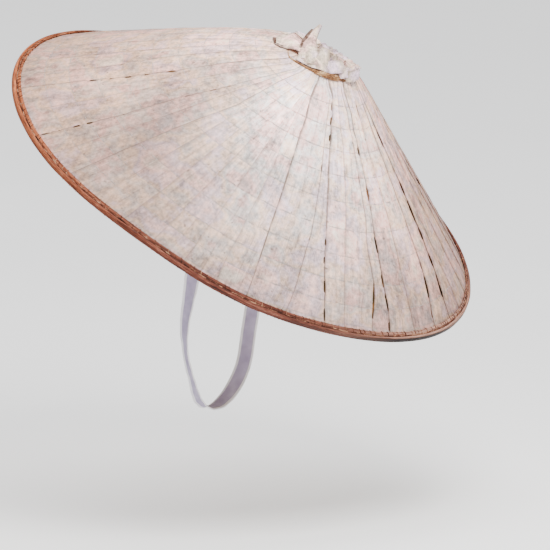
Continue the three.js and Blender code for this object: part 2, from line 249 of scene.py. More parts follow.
def cover_height(radius, azimuth):
    outside = np.maximum(radius, CROWN_RADIUS)
    share = (outside - CROWN_RADIUS) / (SLOPE_END - CROWN_RADIUS)
    bow = (BOW_HEIGHT + BOW_MORE * cosd(azimuth - LEVEL_AZIMUTH)) * np.sin(math.pi * share)
    drop = CROWN_DROP * np.exp((CROWN_RADIUS - outside) / CROWN_ROUNDING) + crown_sag(radius, azimuth)
    warp = rim_lift(azimuth) * (outside / RIM_RADIUS) ** 3
    rise = CROWN_RISE * (outside - radius) / CROWN_RADIUS
    return CONE_HEIGHT * (1 - outside / RIM_RADIUS) + bow - drop + warp + rise


def crown_lean(radius):
    most, spread, azimuth = CROWN_LEAN
    return polar(most * np.exp(-((radius / spread) ** 2)), azimuth, 0.0)


def leaf_azimuth(rim_azimuth, radius):
    offset = LEAF_OFFSET * np.maximum(0, cosd(rim_azimuth - OFFSET_AZIMUTH))
    twist = np.arcsin(offset / np.maximum(radius, OFFSET_FROM)) - np.arcsin(offset / RIM_RADIUS)
    return rim_azimuth + np.degrees(twist)


def cover_point(azimuth, radius, lift):
    """Point on the cover at an azimuth about its own centre, lifted along the slope's normal."""
    height = cover_height(radius, azimuth) + lift * math.cos(SLOPE)
    return polar(radius + lift * math.sin(SLOPE), azimuth, height) + crown_lean(radius)


# Leaves: where each one's first edge runs as (radius, azimuth), how plainly that edge shows as a dark line,
# partly the leaf's darker edge and partly painted shadow of its step and of its slits, and its open slits as
# (from radius, to radius, width)

NEAR_EDGES = [
    ([(85, -58), (140, -58.2), (184, -57.2), (250, -59.6)], 0.6, [(150, 157, 1.8), (168, 175, 2.0)]),
    ([(60, -44), (128, -46), (167, -48.2), (202, -50.6), (250, -53)],
     1.1, [(128, 140, 2.8), (150, 158, 2.4), (163, 172, 2.8), (178, 186, 2.4), (192, 200, 2.8)]),
    ([(60, -34), (140, -38), (250, -42.5)], 0.45, []),
    ([(60, -21), (98, -23.9), (112, -25.5), (138, -28), (188, -29.6), (215, -31.2), (251, -32.9)],
     0.85, [(97, 104, 1.8), (110, 117, 2.0), (121, 124, 1.2), (130, 139, 1.6), (182, 190, 1.6),
           (209, 217, 2.6), (219, 227, 2.8), (234, 239, 1.6), (243, 252, 1.8)]),
    ([(60, -17), (140, -21), (250, -25.5)], 0.45, []),
    ([(52, -11.6), (81, -9.9), (108, -9.4), (140, -13.2), (170, -15.1), (198, -16.3), (250, -17.5)],
     0.9, []),
    ([(60, -3), (140, -6), (250, -8.5)], 0.4, [(184, 191, 0.5)]),
    ([(60, 4), (140, 2.5), (250, 0.5)], 0.35, []),
    ([(60, 11), (140, 10.5), (250, 9.0)], 0.35, [(163, 170, 0.8)]),
    ([(60, 18), (140, 18.5), (250, 17.5)], 0.4, []),
    ([(42, 15), (60, 23), (140, 26.5), (250, 26.0)], 0.3, []),
    ([(42, 21), (84, 32.4), (119, 33.8), (164, 34.1), (250, 34.1)], 1.0, [(92, 104, 0.4)]),
    ([(42, 40), (56, 51.2), (124, 50.5), (183, 48.4), (219, 46), (250, 44.5)],
     0.7, [(118, 126, 0.6), (181, 190, 0.6)]),
    ([(42, 44.5), (45, 46.4), (56, 53.3), (74, 54.6), (145, 54), (195, 53.9), (250, 54.4)],
     1.0, [(45, 57, 1.0), (60, 72, 0.8), (74, 84, 1.5), (90, 100, 1.5), (181, 189, 1.3),
           (194, 204, 1.2), (216, 229, 1.4), (239, 252, 1.4)]),
    ([(50, 60), (100, 64), (162, 62.6), (198, 60.9), (250, 60.2)], 0.4, []),
    ([(50, 66), (68, 71), (100, 72.8), (159, 72.6), (180, 71), (213, 71.4), (242, 69.1), (250, 68.6)],
     0.6, [(211, 243, 1.6)]),
    ([(50, 69.9), (68, 75.5), (85, 75), (102, 76.3), (133, 76.8), (173, 75.5), (205, 75.2),
      (234, 75.1), (250, 74.2)],
     1.0, [(98, 108, 1.0), (131, 144, 1.4), (172, 189, 1.3), (203, 216, 1.0), (219, 236, 1.2),
           (242, 252, 1.6)]),
    ([(60, 86), (150, 86), (250, 83.5)], 0.35, [(60, 74, 0.6)]),
    ([(60, 98), (130, 97.5), (201, 96.5), (215, 95.6), (230, 94), (246, 92.7)],
     0.8, [(200, 207, 0.7), (212, 231, 1.7), (240, 248, 0.9)]),
    ([(60, 102.5), (78, 104.1), (102, 105), (139, 105.7), (179, 104.8), (208, 103.8), (234, 102),
      (250, 101.2)],
     1.0, [(88, 106, 0.9), (137, 149, 1.6), (152, 172, 1.5), (177, 188, 1.6), (198, 210, 1.7),
           (217, 222, 1.2), (224, 236, 2.0)]),
]
FAR_LEAVES = 23
FAR_SLITS_FROM = 135
# A leaf's edge curls up at its slits, but those before azimuth PRESSED_BELOW are pressed down
SLIT_CURL, SLIT_PRESS, PRESSED_BELOW = 0.35, -0.42, -5
STITCH_ROWS = [64, 84, 104, 125, 147, 170, 192.5, 213.5, 233, 249]
LEAF_THICKNESS = 0.5
MOST_LAP = 3.0
CLAMPED = (236, 252.5)  # radii between which the rim comes to press the leaves flat
COVER_START = 30.0
COVER_END = 256.2
RANDOM = np.random.default_rng(451)


def leaf_edges():
    edges = [dict(path=path, azimuth=path[-1][1], strength=s, slits=slits) for path, s, slits in NEAR_EDGES]
    last, around = edges[-1]["azimuth"], edges[0]["azimuth"] + 360
    step = (around - last) / (FAR_LEAVES + 1)
    for i in range(FAR_LEAVES):
        azimuth = last + (i + 1) * step + RANDOM.uniform(-1.2, 1.2)
        slits = []
        for start in np.arange(60, 236, 26):
            if RANDOM.random() < 0.16 and azimuth > FAR_SLITS_FROM:
                length = RANDOM.uniform(8, 18)
                slits.append((start, start + length, RANDOM.uniform(0.7, 1.6)))
        path = [(60, azimuth + RANDOM.uniform(-1.5, 1.5)), (250, azimuth)]
        strength = RANDOM.uniform(0.3, 0.9) * (1.0 if azimuth > FAR_SLITS_FROM else 0.35)
        edges.append(dict(path=path, azimuth=azimuth, strength=strength, slits=slits))
    for edge in edges:
        edge["curl"] = SLIT_CURL if edge["azimuth"] > PRESSED_BELOW else SLIT_PRESS
        edge["waves"] = [(RANDOM.uniform(28, 120), RANDOM.uniform(0, 6.28)) for _ in range(3)]
        edge["tone"] = RANDOM.random()
        edge["bulge"] = RANDOM.uniform(0.25, 0.6)
        edge["pucker"] = RANDOM.uniform(0.45, 0.9)
        edge["crease"] = RANDOM.uniform(0.1, 0.4)
        limits = (18, 55), (0, 6.28), (-2, 2), (0.04, 0.14)
        edge["ripples"] = [[RANDOM.uniform(*limit) for limit in limits] for _ in range(4)]
    return edges


EDGES = leaf_edges()


def wave_field(seed, count, shortest, longest):
    random = np.random.default_rng(seed)
    waves = []
    for _ in range(count):
        length, heading = random.uniform(shortest, longest), random.uniform(0, 2 * math.pi)
        turn = 2 * math.pi / length
        waves.append((turn * math.cos(heading), turn * math.sin(heading), random.uniform(0, 2 * math.pi)))
    return waves


CRINKLES = wave_field(12, 26, 11, 34)
PATCHES = wave_field(5, 5, 90, 200)


def crinkle(azimuth, radius):
    """Shallow dents of the dry leaves, stronger in some patches."""
    x, y = radius * cosd(azimuth), radius * sind(azimuth)
    dents = sum(np.sin(a * x + b * y + c) for a, b, c in CRINKLES) / math.sqrt(len(CRINKLES))
    patches = sum(np.sin(a * x + b * y + c) for a, b, c in PATCHES) / math.sqrt(len(PATCHES))
    worn = bell(12, 34, azimuth) * smooth(70, 110, radius)
    return dents * (0.12 + 0.06 * np.clip(patches, -1, 1) + 0.16 * worn)


def slit_width(edge, radius):
    width = np.zeros_like(radius)
    for start, end, most in edge["slits"]:
        share = np.clip((radius - start) / (end - start), 0, 1)
        width = np.maximum(width, most * np.sin(math.pi * share) ** 0.6)
    return width


def edge_azimuth(edge, radius):
    wander = sum(0.32 * np.sin(radius * 2 * math.pi / length + phase) for length, phase in edge["waves"])
    radii, azimuths = np.array(edge["path"], float).T
    return np.interp(radius, radii, azimuths) + np.degrees(wander / RIM_RADIUS)


def pucker(radius):
    """0 at each row of stitches, 1 half way to the next."""
    rows = np.array([COVER_START - 16] + STITCH_ROWS + [COVER_END + 10])
    found = np.clip(np.searchsorted(rows, radius) - 1, 0, len(rows) - 2)
    share = (radius - rows[found]) / (rows[found + 1] - rows[found])
    return np.sin(math.pi * np.clip(share, 0, 1)) ** 0.8


class Leaf:
    """One leaf of the cover, from its first edge to its last, which the next leaf covers."""

    def __init__(self, index):
        self.edge = EDGES[index]
        self.after = EDGES[(index + 1) % len(EDGES)]
        self.span = between(self.edge["azimuth"], self.after["azimuth"]) % 360

    def azimuth(self, share, radius):
        """Azimuth about the cover's centre at a share of the leaf's visible width."""
        per_mm = np.degrees(1 / radius)
        width = self.span / per_mm
        gap = slit_width(self.edge, radius)
        next_gap = slit_width(self.after, radius)
        open_share = np.clip(next_gap / 0.4, 0, 1)
        lap = np.minimum(MOST_LAP, 0.35 * width) * (1 - open_share) - next_gap / 2 * open_share
        first = edge_azimuth(self.edge, radius)
        last = self.edge["azimuth"] + self.span
        last = last + edge_azimuth(self.after, radius) - self.after["azimuth"]
        start = leaf_azimuth(first, radius) + gap / 2 * per_mm
        end = leaf_azimuth(last, radius) + lap * per_mm
        return start + (end - start) * share

    def lift(self, share, radius):
        edge = self.edge
        held = 1 - smooth(*CLAMPED, radius)
        step = 0.25 + 0.75 * smooth(28, 90, radius) * (0.4 + 0.6 * held)
        grown = smooth(30, 110, radius) * (0.12 + 0.88 * held)
        lift = step * (1 - share)
        lift = lift + edge["bulge"] * grown * np.sin(math.pi * share)
        lift = lift - edge["crease"] * grown * np.exp(-(((share - 0.5) / 0.025) ** 2))
        lift = lift + edge["pucker"] * grown * (pucker(radius) - 0.5) * np.sin(math.pi * share) ** 0.5
        for length, phase, cross, size in edge["ripples"]:
            wave = np.sin(radius * 2 * math.pi / length + phase + cross * share * 3)
            lift = lift + size * grown * wave * np.sin(math.pi * share) ** 0.5
        curl = np.maximum(slit_width(edge, radius) * edge["curl"], -1) * np.exp(-share / 0.08)
        azimuth = edge["azimuth"] + self.span * share
        return lift + curl + grown * crinkle(azimuth, radius) * np.sin(math.pi * share) ** 0.4

    def point(self, share, radius, above=0.0):
        share, radius = np.broadcast_arrays(np.asarray(share, float), np.asarray(radius, float))
        return cover_point(self.azimuth(share, radius), radius, self.lift(share, radius) + above)


ROW_GAP = 3.9
STITCH_DENT = 1.1
LEAF_COLUMNS = np.array([0, 0.02, 0.08, 0.2, 0.35, 0.46, 0.5, 0.54, 0.7, 0.85, 1])


def leaf_radii():
    """Radii of a leaf's rows of points, with three at each row of stitches."""
    radii = np.arange(COVER_START, 252, ROW_GAP)
    radii = [r for r in radii if min(abs(r - row) for row in STITCH_ROWS) > 2]
    radii += [row + dent for row in STITCH_ROWS for dent in (-STITCH_DENT, 0, STITCH_DENT)]
    return np.array(sorted(radii + [252.4, 253.6, 254.8, COVER_END]))


# Tone of each stretch between two stitch rows, partly painted shade of its pucker
CELLS = np.random.default_rng(31).random((len(EDGES), len(STITCH_ROWS) + 1))


def bleached(azimuth, radius):
    """Share by which the leaves turn paler, most on one side and near the crown: partly sun bleaching, partly
    a painted highlight where the light falls.
    """
    side = bell(40, 48, azimuth) * (1 - 0.4 * smooth(140, 250, radius))
    return np.clip(side + 0.35 * (1 - smooth(60, 190, radius)), 0, 1)


# Lighter and darker patches of the leaves, the lighter ones painted highlights: azimuth, its spread, radius,
# its spread, change
BRIGHT_SPOTS = [
    (20, 16, 90, 36, 0.75), (58, 20, 120, 60, 0.22), (-13, 18, 185, 46, -0.46), (-26, 16, 120, 34, -0.24),
    (30, 20, 215, 40, 0.12), (85, 18, 145, 50, 0.62), (56, 18, 216, 40, 0.24), (100, 14, 208, 40, 0.2),
    (-32, 14, 208, 30, 0.1),
]


def brightness(azimuth, radius):
    """Brightness of the leaves: darker towards the rim, brighter on one side, with the painted highlights and
    darker patches of BRIGHT_SPOTS.
    """
    worn = 1.18 - 0.28 * smooth(100, 165, radius) - 0.24 * smooth(165, 245, radius)
    side = 1 + 0.26 * bell(-62, 38, azimuth)
    for at, spread, middle, reach, change in BRIGHT_SPOTS:
        off, out = between(at, azimuth) / spread, (radius - middle) / reach
        side = side + change * np.exp(-(off**2) - out**2)
    return worn * side


# What the leaves' look reads: how plain the dark edge line is, partly painted shadow; the tone of a stretch
# between two stitch rows, partly painted shade; the share that is paler, partly bleaching and partly painted
# highlight; the stain, partly painted shadow; the brightness, with painted highlights; and the painted shade
# in the groove under a row of stitches
PLAIN_LEAF = dict(seam=0.5, cell=0.5, fade=0.0, stain=0.0, worth=1.0, groove=0.0)


def leaf_place(share, radius, span, tone):
    """Millimetres across and along a leaf, its tone, and its width."""
    width = np.radians(span) * radius
    facts = np.stack([share * width, radius / math.cos(SLOPE), np.full_like(radius, tone)], -1)
    return dict(leaf=facts, width=width)


def outer_leaves(material):
    batch = Batch()
    share, radius = np.meshgrid(LEAF_COLUMNS, leaf_radii())
    in_row = np.min([np.abs(radius - row) for row in STITCH_ROWS], 0) < STITCH_DENT / 2
    for index, edge in enumerate(EDGES):
        leaf = Leaf(index)
        azimuth = leaf.azimuth(share, radius)
        batch.sheet(
            to_world(leaf.point(share, radius)),
            to_world(leaf.point(share, radius, -LEAF_THICKNESS)),
            **leaf_place(share, radius, leaf.span, edge["tone"]),
            # Dark line along the leaf's first edge: partly its darker edge, partly painted shadow of its step
            # and slits
            seam=edge["strength"],
            # Tone of each stretch between two stitch rows, partly painted shade of its pucker
            cell=CELLS[index, np.searchsorted(STITCH_ROWS, radius)],
            # Paler leaves on one side and near the crown: partly bleaching, partly painted highlight
            fade=bleached(azimuth, radius),
            # Painted shadow at the leaf ends, where they go in under the rim's top strip
            stain=smooth(252.8, 254.4, radius),
            # Brightness: darker towards the rim, with painted highlights and darker patches
            worth=brightness(azimuth, radius),
            # Painted shade in the dent under each row of stitches, stronger on one side
            groove=in_row * (0.3 + 0.7 * bell(38, 38, azimuth)),
        )
    return batch.piece("sedge_leaves", material, "sedge", 50)


UNDER_LAYER = (-0.95, -1.25)  # its upper and lower side, from the cover's form


def under_skin(material):
    """Layer between the outer leaves and those inside, painted dark as the shade that shows in the slits."""
    azimuths = np.linspace(0, 360, 120, endpoint=False)
    radii = np.array([2, 18, 36, 39, 42, 46, 50, 55, 61, 68, 78, 96, 118, 145, 180, 215, 255.8])
    azimuth, radius = np.meshgrid(azimuths, radii)
    batch = Batch()
    size = azimuth.size
    top, low = (to_world(cover_point(azimuth, radius, lift)).reshape(-1, 3) for lift in UNDER_LAYER)
    rows, columns = azimuth.shape
    faces = grid_faces(rows, columns, closed_columns=True)
    faces = [tuple(reversed(face)) for face in faces]
    faces += [tuple(size + i for i in reversed(face)) for face in faces]
    for row in (0, rows - 1):
        for j in range(columns):
            a, b = row * columns + j, row * columns + (j + 1) % columns
            quad = (a, b, size + b, size + a)
            faces.append(quad if row == 0 else tuple(reversed(quad)))
    batch.add(np.concatenate([top, low]), faces)
    return batch.piece("sedge_under_layer", material, "sedge")


INNER_THICKNESS = 0.3
GOLDEN_SHARE = 0.618


def inner_leaves(material):
    batch = Batch()
    radii = np.concatenate([[1.5, 18, 36, 39, 42], np.linspace(46, COVER_END - 1.5, 28)])
    share, radius = np.meshgrid(np.linspace(0, 1, 6), radii)
    count = len(EDGES)
    for index in range(count):
        azimuth = index * 360 / count + share * (360 / count + np.degrees(2.5 / np.maximum(radius, 30)))
        lift = -1.95 + 0.35 * share + 0.12 * np.sin(radius / 9 + index * 2.1)
        tone = (index * GOLDEN_SHARE) % 1
        batch.sheet(
            to_world(cover_point(azimuth, radius, lift + INNER_THICKNESS)),
            to_world(cover_point(azimuth, radius, lift)),
            **leaf_place(share, radius, 360 / count, tone),
            **{**PLAIN_LEAF, "seam": 0.8},
        )
    return batch.piece("sedge_leaves_inside", material, "sedge", 50)


STITCH_SPACING = 12.5
THREAD_RADIUS = 0.24
THREAD_HEIGHTS = np.array([-0.4, 0.0, 0.1, 0.13, 0.1, 0.0, -0.4])  # over the leaf, along one stitch


def stitches(material):
    """Rows of running stitches round the cover, which dip into the leaves at both ends."""
    batch = Batch()
    random = np.random.default_rng(88)
    points = len(THREAD_HEIGHTS)
    for row in STITCH_ROWS[:-1]:
        for index in range(len(EDGES)):
            leaf = Leaf(index)
            count = max(1, round(math.radians(leaf.span) * row / STITCH_SPACING))
            for i in range(count):
                start = (i + 0.1 + random.uniform(-0.06, 0.12)) / count
                end = (i + 0.9 - random.uniform(-0.06, 0.25)) / count
                share = np.linspace(start, end, points)
                slant = random.uniform(-0.4, 0.4), 0.5 * random.uniform(-1, 1)
                radius = row + slant[0] + slant[1] * np.linspace(-1, 1, points)
                path = leaf.point(share, radius, THREAD_HEIGHTS)
                tube(batch, to_world(path), THREAD_RADIUS * MM, sides=5)
    return batch.piece("stitches", material, "sedge_ends")


# Bamboo rim

HOOP_RADIUS = 258
# Parts of the rim painted brighter, paler and darker: the brighter parts partly bamboo tone and partly
# painted
# highlight, the paler part a painted highlight, the darker part painted shade on the hoop's lower outer side:
# azimuth, spread, strength
RIM_TONES = dict(fade=[(-62, 48, 1.0), (92, 30, 0.4)], pale=[(94, 26, 0.48)], dim=[(84, 28, 1.1)])


def ring_sweep(batch, profile, segments, wander, seed, shaded=False):
    """Closed ring from a profile of (radius, height), slightly uneven all round, following the rim's warp."""
    random = np.random.default_rng(seed)
    azimuth = np.linspace(0, 360, segments, endpoint=False)
    waves = [(random.integers(3, 40), random.uniform(0, 6.28), random.uniform(0.3, 1)) for _ in range(8)]
    uneven = [sum(s * np.sin(n * np.radians(azimuth) + p + k) for n, p, s in waves) / 4 for k in (0, 2)]
    profile = np.array(profile, float)
    radius = profile[None, :, 0] + wander * uneven[0][:, None]
    lift = rim_lift(azimuth) * (profile[:, 0].mean() / RIM_RADIUS) ** 3
    height = profile[None, :, 1] + (lift + wander * uneven[1])[:, None]
    angle = azimuth[:, None] + 0 * radius
    facts = [np.radians(angle) * HOOP_RADIUS, run_length(profile)[None] + 0 * radius, 0 * radius + seed]
    faces = grid_faces(segments, len(profile), closed_rows=True, closed_columns=True)
    # Brighter, paler and darker parts of the rim: partly painted highlight, painted highlight and painted
    # shade
    tones = {
        name: sum(most * bell(at, spread, angle).ravel() for at, spread, most in spots)
        for name, spots in RIM_TONES.items()
    }
    # Painted shade only on the ring that takes it: the hoop's underside and lower outer wall
    tones["dim"] = tones["dim"] * shaded
    points = to_world(polar(radius, angle, height))
    batch.add(points, faces, fibre=np.stack(facts, -1).reshape(-1, 3), **tones)


def slope_height(radius, lift):
    return CONE_HEIGHT * (1 - radius / RIM_RADIUS) + lift


HOOP_PROFILE = [
    (256.75, -0.3), (257.3, -0.75), (258.2, -0.85), (259.2, -0.7), (259.8, -0.2), (260.05, 0.9), (260.1, 2.2),
    (259.95, 3.6), (259.5, 4.5), (258.7, 4.85), (257.6, 4.8), (256.95, 4.4), (256.7, 3.6), (256.7, 1.0),
]


def strip_profile(inner, outer, low, high):
    round_off = 0.35
    return [
        (inner, slope_height(inner, low)),
        (outer, slope_height(outer, low)),
        (outer + 0.1, slope_height(outer, (low + high) / 2)),
        (outer - round_off / 2, slope_height(outer, high - round_off / 2)),
        ((inner + outer) / 2, slope_height((inner + outer) / 2, high + 0.15)),
        (inner + round_off / 2, slope_height(inner, high - round_off / 2)),
        (inner - 0.1, slope_height(inner, (low + high) / 2)),
    ]


# Each ring of the rim: piece, node, profile, segments, wander, seed, whether painted shade darkens its outer
# side
RINGS = [
    ("rim_bamboo_hoop", "rim_hoop", HOOP_PROFILE, 480, 0.22, 3, True),
    ("rim_bamboo_top_strip", "rim_top_strip", strip_profile(253.3, 255.6, 1.5, 2.7), 480, 0.16, 5, False),
    ("rim_bamboo_under_strip", "rim_under_strip", strip_profile(253.4, 255.9, -5.4, -2.95), 360, 0.12, 9,
     False),
]
# A lashing round both strips: radius, height over the slope, azimuth from its start
LASHING_ROUTE = [
    (252.7, -3.4, -0.5), (252.9, 1.2, -0.3), (253.4, 2.9, -0.1), (254.5, 3.2, 0.1), (255.7, 2.8, 0.25),
    (256.2, 1.0, 0.35), (256.2, -3.2, 0.4), (255.9, -5.6, 0.2), (254.6, -6.0, 0.0), (253.2, -5.6, -0.3),
]
CORD_RADIUS, CORD_LIFT, CORD_THICKNESS = 256.15, 1.7, 0.7


def rim(bamboo, thread):
    for piece, node, profile, segments, wander, seed, shaded in RINGS:
        ring = Batch()
        ring_sweep(ring, profile, segments, wander, seed, shaded)
        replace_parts(ring.piece(piece, bamboo, "bamboo_rim", 60), node)
    lashings = Batch()
    random = np.random.default_rng(19)
    azimuth = 0.0
    radius, lift, turn = np.array(LASHING_ROUTE).T
    while azimuth < 359:
        path = polar(radius, azimuth + turn, slope_height(radius, lift) + rim_lift(azimuth))
        tube(lashings, to_world(path), random.uniform(0.25, 0.5) * MM, sides=6, closed=True)
        azimuth += random.uniform(0.9, 2.6)
    around = np.linspace(0, 360, 720, endpoint=False)
    radius = CORD_RADIUS + 0.08 * np.sin(np.radians(around) * 31)
    wave = 0.35 * np.sin(np.radians(around) * 57 + 1)
    height = slope_height(CORD_RADIUS, CORD_LIFT) + rim_lift(around) + wave
    tube(lashings, to_world(polar(radius, around, height)), CORD_THICKNESS * MM, sides=6, closed=True)
    lashings.piece("rim_lashings", thread, "tie")


# Tuft


def above_crown(radius):
    return cover_height(radius, LEVEL_AZIMUTH) + 0.4


CROWN_CENTRE = crown_lean(CROWN_RADIUS)


def on_crown(radius, azimuth, height):
    """Hat coordinates of a point given about the crown's centre, with height before the crown sags."""
    return polar(radius, azimuth, height - crown_sag(radius, azimuth)) + CROWN_CENTRE


# The binding round the tuft: azimuth, share of its full thickness, radius
TIE_COURSE = [
    (0, 0.34, 42.2), (10, 0.4, 41.2), (20, 0.62, 40.8), (32, 1.0, 40.2), (44, 1.3, 39.8), (55, 1.2, 39.2),
    (63, 0.7, 38.8), (74, 0.42, 39.2), (86, 0.4, 39.6), (100, 0.42, 39.2), (130, 0.5, 38.2), (200, 0.5, 37.6),
    (300, 0.3, 38.6), (322, 0.12, 40.0), (334, 0.2, 43.6), (341, 0.36, 44.8), (350, 0.36, 43.6),
    (360, 0.34, 42.2),
]
TIE_STRANDS = 6  # round one more in the middle
STRAND_TURNS = 9


def tie(material):
    batch = Batch()
    random = np.random.default_rng(6)
    azimuth = np.linspace(0, 360, 160, endpoint=False)
    angle = np.radians(azimuth)
    around, thickness, radii = np.array(TIE_COURSE).T
    swell, middle = np.interp(azimuth, around, thickness), np.interp(azimuth, around, radii)
    for strand in range(TIE_STRANDS + 1):
        turn = strand * 2 * math.pi / TIE_STRANDS + angle * STRAND_TURNS
        out = 0.0 if strand == TIE_STRANDS else 1.25
        reach = swell * (out + 0.2 * np.sin(angle * random.integers(5, 11) + random.uniform(0, 6)))
        radius = middle + reach * np.cos(turn)
        height = above_crown(middle) + 2.1 * swell + (middle - radius) * 0.6 + reach * np.sin(turn)
        thick = 0.95 * swell * (1 + 0.15 * np.sin(angle * random.integers(7, 17)))
        tube(batch, to_world(on_crown(radius, azimuth, height)), thick * MM, sides=7, closed=True)
    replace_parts(batch.piece("tuft_tie", material, "tie"), "topknot_tie")


# Leaf ends: azimuth, root's distance from the tuft's axis, widths at the root and tip, length, lean from
# upright at the root and at the tip, side lean, cut of the tip
BLADES = [
    (110, 35, 14, 12, 6, 4, -6, -2, 0.1),
    (122, 32, 13, 11, 9, 30, 70, 0, 0.3),
    (140, 32, 18, 13, 11, 62, 125, 0, 0.2),
    (160, 32, 18, 13, 12, 66, 130, 2, 0.2),
    (182, 32, 18, 12, 11, 66, 125, -2, 0.3),
    (204, 32, 18, 12, 12, 66, 130, 0, 0.2),
    (226, 32, 18, 14, 12, 66, 130, 0, 0.3),
    (250, 32, 18, 12, 12, 66, 125, 0, 0.2),
    (38, 14, 20, 14, 10, 4, -20, 0, 0.3),
    (84, 15, 16, 11, 6, 8, 12, 0, 0.3),
    (-30, 14, 16, 11, 7, 2, -18, 0, 0.3),
    (10, 24, 16, 12, 10, 6, -24, 2, 0.3),
    (60, 24, 16, 12, 7, 8, -30, -3, 0.3),
    (112, 22, 13, 11, 5, 14, 20, 0, 0.3),
    (170, 12, 18, 13, 6, 10, 30, 0, 0.3),
    (240, 16, 18, 13, 6, 14, 40, 0, 0.3),
    (0, 3, 22, 16, 8, 2, -8, 0, 0.3),
    (80, 6, 20, 15, 6, 6, 6, 0, 0.3),
    (-70, 22, 15, 11, 6, 20, -20, 0, 0.3),
]

# Standing leaf ends: points of the middle line as (radius, azimuth, height), widths there, azimuth that the
# face looks in, cup of the section, stain and painted shadow, thickness. The second is a dark strip of
# painted shadow along the spike's left side.
STANDING = [
    ([(37.5, 10, 170.5), (33, 0, 177), (24, -24, 179.5), (19, -65, 184.5), (19.5, -97, 194.5)],
     [17, 17, 15, 9.5, 3.5], 30, 1.4, 0, 0.7),
    # Dark strip of painted shadow along the spike's left side
    ([(27, -24, 176.5), (23.8, -38, 180.5), (20.6, -62, 184.6), (20.4, -77, 188)],
     [14, 12.5, 9.6, 7], 30, 0.8, 1, 0.5),
    ([(37.5, 28, 171), (33, 25, 178), (26, 21, 183), (20.5, 18, 187)], [16, 16, 13, 8.5], 32, 1.2, 0, 0.6),
    ([(30, 6, 176.5), (34.5, 16, 176.5), (37.5, 28, 174.5), (38, 40, 172.3)], [5, 7, 7, 5], 30, 1.8, 0, 0.6),
    ([(36.4, 52, 173.2), (33.6, 49, 178), (29.5, 45, 183)], [20, 22, 17], 48, 1.2, 0, 0.6),
    ([(30, 50, 175), (26, 50, 181), (24, 51, 186)], [7, 5, 3.5], 40, 0.6, 0.25, 0.6),
    ([(38.4, 72, 171.4), (36, 70, 175.6), (33, 67, 179)], [15, 15, 12], 66, 1.0, 0, 0.6),
    ([(39.8, 90, 169.8), (37.8, 88, 175.5), (35.5, 86, 180.5)], [22, 22, 19], 86, 1.5, 0, 0.6),
    ([(38.5, -3, 171.5), (34.5, -12, 175), (28, -22, 177)], [12, 12, 10], 10, 1.0, 0, 0.6),
]

# Flat leaf ends that lie over the tie and down the slope: plan points of the middle line, widths there,
# height over what they lie on at both ends, slant of the cut end, stain and painted shadow. The third and
# fourth are dark strips of painted shadow under the second flap's lower edge and along its cut end.
FLAPS = [
    ([(10, -12), (7, -26), (4, -40), (0, -52)], [14, 16, 16, 16], (-1.5, -0.6), 2, 0),
    ([(26, 2), (25.5, -12), (22.8, -28), (17.5, -47)], [10, 19, 24, 25], (-0.2, 0.1), 5, 0),
    # Dark strip of painted shadow under the second flap's lower edge
    ([(34.2, -27), (33.6, -33), (31.8, -39)], [1.2, 3.0, 2.6], (0.3, 0.2), 0, 1),
    # Dark strip of painted shadow along the second flap's cut end
    ([(31.6, -40), (25, -45), (20, -48.4)], [2.0, 3.0, 2.2], (0.8, 0.8), 0, 1),
    ([(28, 18), (34, 9), (37, 0), (38.5, -9)], [11, 11, 10, 7], (0.0, 0.1), 0, 0),
    ([(1, -12), (-3, -24), (-7, -38), (-12, -52)], [14, 18, 20, 20], (0.0, 0.1), 3, 0),
]
TUFT_BASE = 170.3
BLADE_THICKNESS = 0.55
FLAP_THICKNESS = 0.6
MIDRIB_AWAY = 40  # added to a leaf end's width, so that its look draws no rib down the middle


def leaf_end(batch, front, back, rim, along, width, random, worth, **changes):
    """Adds a cut leaf end; rim is each point's distance from its nearest edge, along its place lengthwise."""
    facts = np.stack(np.broadcast_arrays(rim, along, random.random()), -1)
    values = {**PLAIN_LEAF, "cell": random.random(), **changes}
    values["worth"] = random.uniform(*worth) if isinstance(worth, tuple) else worth
    batch.sheet(to_world(front), to_world(back), leaf=facts, width=width + MIDRIB_AWAY + 0 * rim, **values)


def blade(batch, row, seed):
    azimuth, reach, root, tip, length, lean, curl, side_lean, jag = row
    random = np.random.default_rng(seed)
    rows, columns = 14, 9
    share, across = np.meshgrid(np.linspace(0, 1, rows), np.linspace(-1, 1, columns), indexing="ij")
    cut = 0.35 * np.sin(across * 2.2 + random.uniform(0, 6))
    cut = jag * (cut + 0.25 * np.sin(across * 7 + random.uniform(0, 6)))
    share = share * (1 + cut * share)
    width = root + (tip - root) * share
    phase = random.uniform(0, 6)
    angle = np.radians(lean + (curl - lean) * share)
    bent = np.cumsum(np.sin(angle), 0) / np.arange(1, rows + 1)[:, None]
    risen = np.cumsum(np.cos(angle), 0) / np.arange(1, rows + 1)[:, None]
    fold = 0.5 * np.sin(across * 5 + phase) * (0.4 + share) + 0.25 * np.sin(across * 13 + phase * 2)
    round_off = (across * width / 2) ** 2 / (2 * max(reach, 9))
    x = reach + share * length * bent - round_off + fold * np.cos(angle)
    y = across * width / 2 + share * length * math.sin(math.radians(side_lean))
    z = 0.2 + share * length * risen - fold * np.sin(angle)
    radius, around = np.hypot(x, y), azimuth + np.degrees(np.arctan2(y, x))
    z = np.maximum(z, cover_height(radius, LEVEL_AZIMUTH) + 1.9 - TUFT_BASE)
    front = on_crown(radius, around, TUFT_BASE + z)
    through = polar(np.cos(angle), around, -np.sin(angle))
    rim = np.minimum((1 - np.abs(across)) * width / 2, (share.max() - share) * length)
    leaf_end(batch, front, front - through * BLADE_THICKNESS, rim, share * length, width, random, (0.68, 1.1))


# Height of the head, the tie and the cover together over TUFT_BASE, by radius, before the crown sags
TUFT_RADII = [0, 24, 32, 36, 38, 40.5, 43, 48]
TUFT_HEIGHTS = [3.3, 3.1, 2.9, 2.7, 2.3, -0.4, -3.6, -7.6]


